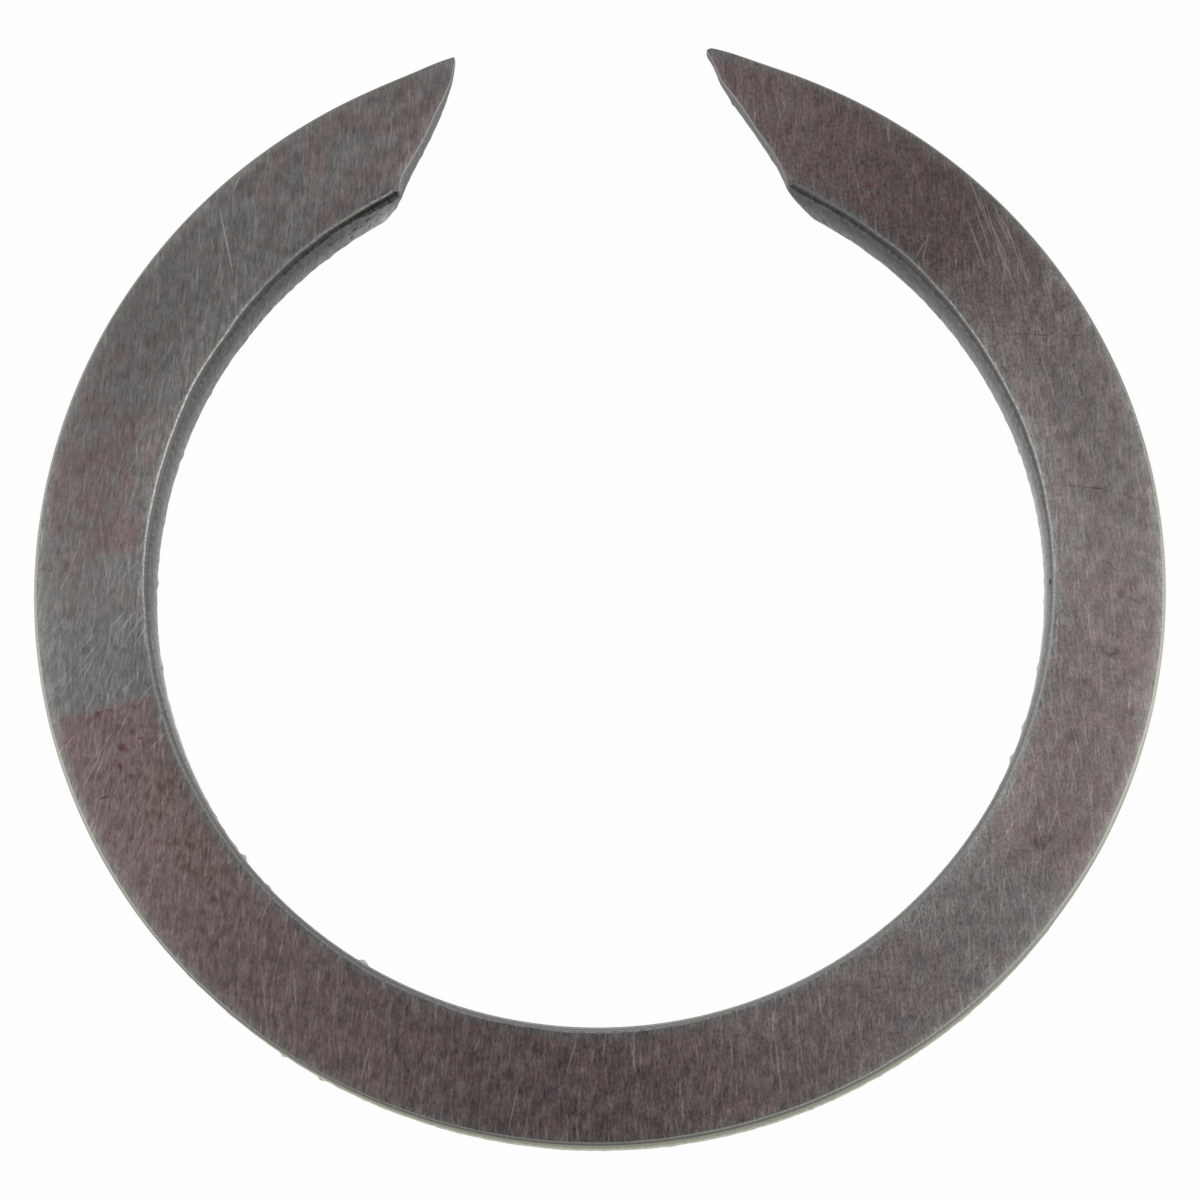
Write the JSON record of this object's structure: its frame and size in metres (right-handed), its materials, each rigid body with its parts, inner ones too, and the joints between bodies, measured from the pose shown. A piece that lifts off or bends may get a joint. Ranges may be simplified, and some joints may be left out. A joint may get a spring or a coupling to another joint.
{
  "type": "snap ring",
  "caption": "Open flat steel snap ring for a grooved shaft, with slanted ends and rolled front edges.",
  "frame": {"origin": "centre of the bore in the plane of the back face", "axes": "+Z along the bore axis from the back face to the front face, +Y towards the middle of the gap"},
  "size_m": [0.039, 0.0384, 0.002],
  "materials": {
    "spring_steel": "ground grey steel with fine scratches, faint reddish stains and light rust specks"
  },
  "bodies": {
    "root": {"snap_ring": "spring_steel"}
  },
  "joints": []
}
